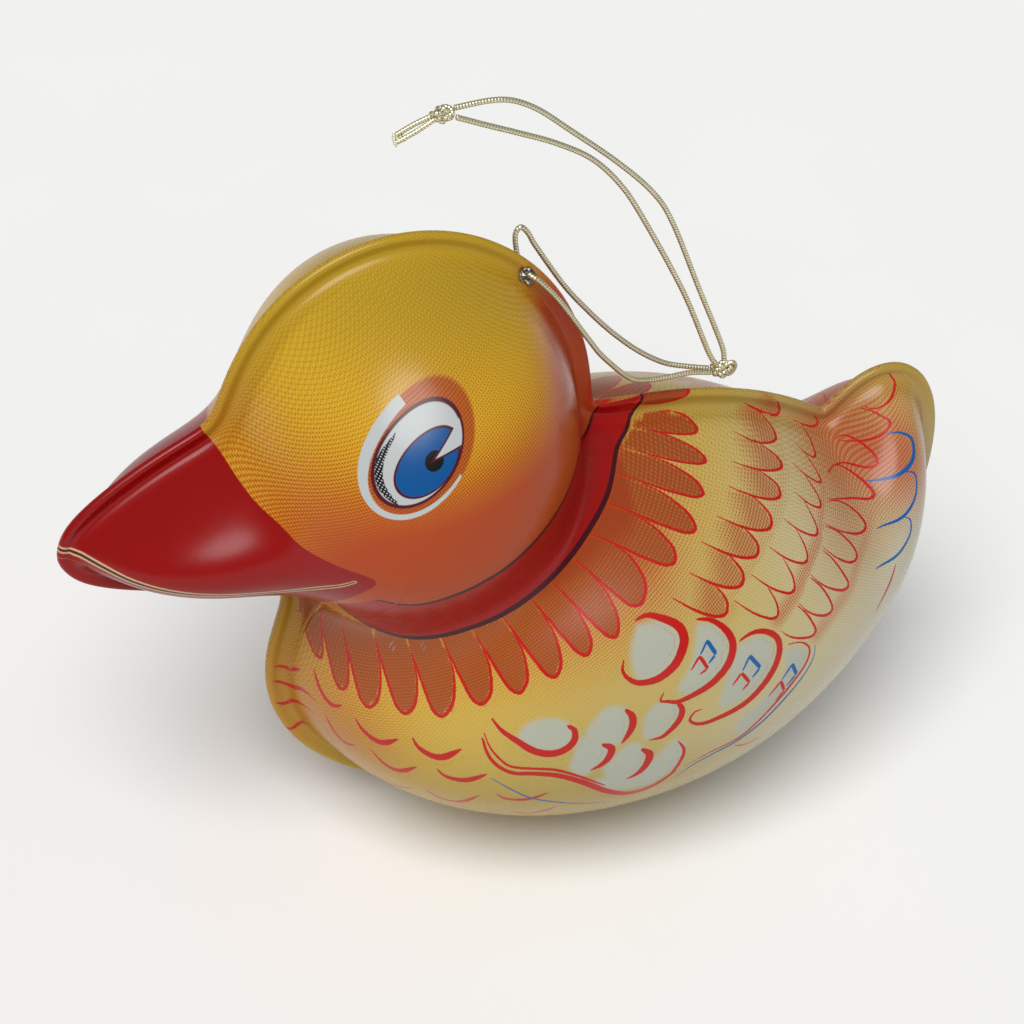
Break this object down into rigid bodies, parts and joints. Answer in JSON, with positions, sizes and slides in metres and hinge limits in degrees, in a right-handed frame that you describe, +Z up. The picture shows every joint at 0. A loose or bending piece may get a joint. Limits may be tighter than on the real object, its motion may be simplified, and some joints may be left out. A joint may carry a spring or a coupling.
{
  "type": "hanging tin duck ornament",
  "caption": "Hollow duck of two stamped tin halves locked by a folded rim, hung by a knotted metallic cord through a hole behind the head.",
  "frame": {"origin": "middle of the duck's length and width at the height of the lowest point of the rim", "axes": "+Z up, -X towards the beak, +X towards the tail, -Y towards the duck's left"},
  "size_m": [0.0975, 0.0506, 0.0841],
  "materials": {
    "printed_tin": "lithographed tinplate under clear gloss varnish",
    "metallic_cord": "pale gold metallic twist"
  },
  "bodies": {
    "duck": {"left_shell": "printed_tin", "right_shell": "printed_tin"},
    "hanger": {"neck_loop": "metallic_cord", "nape_knot": "metallic_cord", "hanger_left": "metallic_cord", "hanger_right": "metallic_cord", "end_knot": "metallic_cord", "cord_ends": "metallic_cord"}
  },
  "joints": [
    {"name": "hanger_swing", "type": "hinge", "parent": "duck", "child": "hanger", "pos_m": [0.0003, 0, 0.0643], "axis": [0, -1, 0], "range_deg": [0, 35]}
  ]
}
